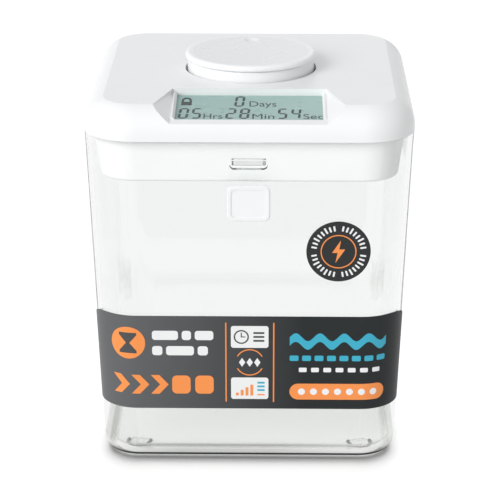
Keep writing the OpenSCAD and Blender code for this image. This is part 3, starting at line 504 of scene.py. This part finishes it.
# Lid shell, plug and dial. One glossy white ABS, moulded in polished steel, so its grain is all
# but gone and only slow flow marks are left; the dial's dish carries painted shade, a darker tone.
gloss_white = moulded("white_abs", (0.83, 0.84, 0.85), 0.3, mottle=0.02)
dress(gloss_white, "lid_shell", "port_plug", "dial_ring")

DISH_R, DISH_Z = 32.5, 204  # the dish in the dial's top, and a height just under its floor
cap_white = Finish("dial_abs")
span = cap_white.axis("X") * cap_white.axis("X") + cap_white.axis("Y") * cap_white.axis("Y")
# Painted shade: the dish's face is given a darker tone, as the shade in its hollow.
painted_dish_shade = ((1 - span.over((DISH_R * MM) ** 2, 100 * MM * MM))
        * cap_white.axis("Z").over(DISH_Z * MM, 0.4 * MM))
cap_white.surface(cap_white.node("BsdfPrincipled", {}, {
    "Base Color": cap_white.blend(painted_dish_shade, (0.84, 0.85, 0.86), (0.775, 0.785, 0.795)),
    "Roughness": cap_white.noise(0.02) * 0.08 + 0.24,
    "Normal": cap_white.bump(cap_white.noise(0.0004, detail=3), 0.000004)}))
dress(cap_white, "dial_cap")


# Lid tray and battery door. The same plastic from a plainer mould, with a fine spark texture
# on the faces that drop into the box.
satin_white = moulded("white_abs_satin", (0.88, 0.885, 0.885), 0.42, mottle=0.03, grain=0.0003,
                      depth=0.000008)
dress(satin_white, "lid_tray", "battery_door")


# Display. A clear window over a grey-green glass with dark segments on its face. A white frame
# presses the glass on two contact strips and its board; bevelled lips trim the opening's sides.
THIN_SHEET = 1.1  # its index, low because so thin and flat a sheet hardly bends what it covers
window = Finish("window_acrylic")
dress(window.surface(clear_moulded(window, (0.97, 0.98, 0.975), THIN_SHEET)), "display_window")

glass = Finish("display_glass")
# Painted light: the glass's tone darker at the left and lighter to the right.
lit = glass.node("MapRange", {}, {0: glass.axis("X"), 1: -35 * MM, 2: 35 * MM})
glass.surface(glass.node("BsdfPrincipled", {}, {
    "Base Color": glass.blend(lit, (0.31, 0.46, 0.44), (0.36, 0.51, 0.485)),
    "Specular IOR Level": 0.15, "Roughness": glass.noise(0.008) * 0.06 + 0.25,
    "Normal": glass.bump(glass.noise(0.0003), 0.000003)}))
dress(glass, "lcd_panel")

# The middle of the pocket's back edge, and the tilt of its floor.
POCKET_Y, POCKET_Z, POCKET_TILT = -46, 198.7, math.radians(8)


def on_display(x, y, up):
    """The point in the display's frame: x across, y up its slope and up square to it, in mm."""
    c, s = math.cos(POCKET_TILT), math.sin(POCKET_TILT)
    return x, POCKET_Y + y * c - up * s, POCKET_Z + y * s + up * c


LIT = {"0": "abcdef", "2": "abged", "4": "fgbc", "5": "afgcd", "8": "abcdefg"}


def figure(value, x0, y0, wide=5.2, tall=13.3, line=1.35, slant=0.07):
    """The lit segments of one figure, as slanted six-sided outlines."""
    bar, post, half = (line * 0.55, wide - line * 0.55), tall / 2, line / 2
    outlines = []
    for name in LIT[value]:
        if name in "agd":
            v = {"a": tall - half, "g": post, "d": half}[name]
            u0, u1 = bar
            six = [(u0, v), (u0 + half, v + half), (u1 - half, v + half), (u1, v),
                   (u1 - half, v - half), (u0 + half, v - half)]
        else:
            u = half if name in "ef" else wide - half
            v0, v1 = (post + 0.35, tall - line * 0.7) if name in "bf" else (line * 0.7, post - 0.35)
            six = [(u, v0), (u + half, v0 + half), (u + half, v1 - half), (u, v1),
                   (u - half, v1 - half), (u - half, v0 + half)]
        outlines.append([(x0 + u + slant * v, y0 + v) for u, v in six])
    return outlines


def unit(word, x0, x1, base, top):
    """A unit's name in the built-in face, fitted between x0 and x1 and to its capital's height."""
    curve = bpy.data.curves.new(word, "FONT")
    curve.body = word
    holder = bpy.data.objects.new(word, curve)
    mesh = bpy.data.meshes.new_from_object(holder)
    xs, ys = [v.co.x for v in mesh.vertices], [v.co.y for v in mesh.vertices]
    wide, tall = (x1 - x0) / (max(xs) - min(xs)), (top - base) / max(ys)
    placed = [(x0 + (v.co.x - min(xs)) * wide, base + v.co.y * tall) for v in mesh.vertices]
    outlines = [[placed[k] for k in face.vertices] for face in mesh.polygons]
    bpy.data.objects.remove(holder)
    bpy.data.curves.remove(curve)
    bpy.data.meshes.remove(mesh)
    return outlines


# The time left, the names of its units, and a padlock: its shackle, its body and its legs.
shown_time = figure("0", -8.2, -14.6)
for value, x in (("0", -37.4), ("5", -30.6), ("2", -12.6), ("8", -5.4), ("5", 14.5), ("4", 21.5)):
    shown_time += figure(value, x, -30.3)
for word, x0, x1, base, top in (("Days", 0, 14.3, -14.4, -7.8), ("Hrs", -23.8, -13.9, -30.3, -24),
                                ("Min", 1.7, 13.2, -30.3, -24), ("Sec", 28.4, 39, -30.3, -24)):
    shown_time += unit(word, x0, x1, base, top)
for k in range(24):
    a, b = math.pi * k / 24, math.pi * (k + 1) / 24
    shown_time.append([(-33.3 + r * math.cos(t), -7.0 + h * math.sin(t)) for r, h, t in (
        (1.5, 1.9, a), (2.75, 4.1, a), (2.75, 4.1, b), (1.5, 1.9, b))])
shown_time += [tile(-36.1, -30.5, -13.2, -8.6, 0.5), tile(-36.05, -34.8, -8.8, -6.9, 0.1),
               tile(-31.8, -30.55, -8.8, -6.9, 0.1)]
segment = moulded("lcd_segment", (0.030, 0.042, 0.042), 0.4, grain=0.0002, gloss=0.1)
printed("lcd_time", segment, "display_glass", "lid", on_display, shown_time, -1.83, -1.77)

dress(moulded("frame_white", (0.74, 0.745, 0.75), 0.5), "display_frame")

LIP_FROM, LIP_TO = -34.3, -0.25  # along the pocket's slope
lips = [[(-38.85, -0.05), (-39.8, 1.3), (-40.1, 1.3), (-41.2, -0.05)],
        [(38.85, -0.05), (39.5, 0.4), (40.1, 0.4), (41.2, -0.05)]]
printed("display_lips", gloss_white, "white_gloss", "lid",
        lambda x, up, y: on_display(x, y, up), lips, LIP_FROM, LIP_TO)

strips = Finish("contact_strip")
layers = strips.node("TexWave", {"bands_direction": "X"}, {
    "Vector": strips.node("TexCoord", out="Object"), "Scale": 900.0})
strips.surface(strips.node("BsdfPrincipled", {}, {
    "Base Color": strips.blend(layers, (0.62, 0.36, 0.37), (0.05, 0.05, 0.055)),
    "Roughness": 0.6, "Normal": strips.bump(layers, 0.00001)}))
dress(strips, "contact_strips")


# Boards. Glass-fibre boards under green solder mask, with tracks that show through it; black
# moulded chips, an amber film ribbon to the display, and the code sensor and press switch.
board = Finish("solder_mask")
cells = board.node("TexVoronoi", {"distance": "CHEBYCHEV", "feature": "F1"}, {
    "Vector": board.node("TexCoord", out="Object"), "Scale": 420.0}, out="Distance")
tracks = cells.over(0.46, 0.06)
board.surface(board.node("BsdfPrincipled", {}, {
    "Base Color": board.blend(tracks, (0.012, 0.12, 0.055), (0.03, 0.22, 0.10)),
    "Roughness": board.noise(0.004) * 0.1 + 0.28, "Normal": board.bump(tracks, 0.00003)}))
dress(board, "main_board", "display_board")

chip = moulded("chip_epoxy", (0.02, 0.02, 0.022), 0.6, mottle=0.3, grain=0.0002, depth=0.00001)
dress(chip, "board_chips", "code_sensor", "press_switch")

amber = Finish("amber_film")
leads = amber.node("TexWave", {"bands_direction": "X"}, {
    "Vector": amber.node("TexCoord", out="Object"), "Scale": 300.0})
amber.surface(amber.node("BsdfPrincipled", {}, {
    "Base Color": amber.blend(leads.over(0.6, 0.2), (0.50, 0.25, 0.05), (0.62, 0.36, 0.16)),
    "Roughness": leads * 0.15 + 0.25, "Normal": amber.bump(leads, 0.00002)}))
dress(amber, "display_ribbon")


# Latch drive. A plated motor in a folded steel bracket turns a brass pinion; the acetal gear on
# its fixed axle drives both racks, and the bolts slide in moulded guides.
def metal(name, colour, rough, stretch=(1, 1, 40), size=0.012, wear=0.25):
    """A bright metal with fine tool marks drawn out across stretch, and a darker worn tone."""
    finish = Finish(name)
    marks = finish.noise(size, detail=4, stretch=stretch)
    return finish.surface(finish.node("BsdfPrincipled", {}, {
        "Base Color": finish.blend(marks, colour, tuple(c * (1 - wear) for c in colour)),
        "Metallic": 1.0, "Roughness": marks * 0.15 + rough,
        "Normal": finish.bump(marks, 0.000006)}))


dress(metal("motor_plating", (0.62, 0.62, 0.63), 0.22), "motor_case")
dress(metal("zinc_plate", (0.56, 0.58, 0.60), 0.38, (1, 1, 6), 0.006), "motor_bracket")
dress(metal("ground_steel", (0.60, 0.60, 0.61), 0.2, (1, 1, 60)), "gear_axle", "motor_shaft",
      "dial_shaft")
dress(metal("spring_steel", (0.34, 0.34, 0.36), 0.35), "axle_clip", "shaft_clip")
dress(metal("brass", (0.72, 0.48, 0.18), 0.25), "motor_pinion")
natural = moulded("acetal_natural", (0.72, 0.70, 0.62), 0.4, mottle=0.06)
dress(natural, "drive_gear")
latch = moulded("acetal_white", (0.70, 0.705, 0.71), 0.42, mottle=0.04)
dress(latch, "front_bolt", "rear_bolt", "bolt_guides", "dial_sleeve", "switch_plunger")
dress(moulded("code_wheel_black", (0.025, 0.025, 0.027), 0.5, mottle=0.2), "code_wheel")


# Batteries. Two cells in printed shrink sleeve, black between copper-coloured ends, held between
# nickel-plated contacts.
sleeve = Finish("cell_sleeve")
copper = sleeve.axis("Y").size().over(14.5 * MM, 0.4 * MM)
sleeve.surface(sleeve.node("BsdfPrincipled", {}, {
    "Base Color": sleeve.blend(copper, (0.02, 0.02, 0.022), (0.62, 0.30, 0.10)),
    "Metallic": copper * 0.8,
    "Roughness": sleeve.noise(0.003) * 0.1 + 0.25,
    "Normal": sleeve.bump(sleeve.noise(0.006), 0.00002)}))
dress(sleeve, "battery_cells")
dress(metal("nickel_wire", (0.64, 0.62, 0.58), 0.25, (6, 6, 6)), "battery_terminals")


# Screws. Zinc-plated cross-head screws that hold the boards, the display's frame, the motor's
# bracket, the tray and the battery door, all driven from below.
dress(metal("screw_zinc", (0.50, 0.51, 0.53), 0.3, (3, 3, 30), 0.004), "display_screws",
      "board_screws", "bracket_screws", "lid_screws", "door_screw")
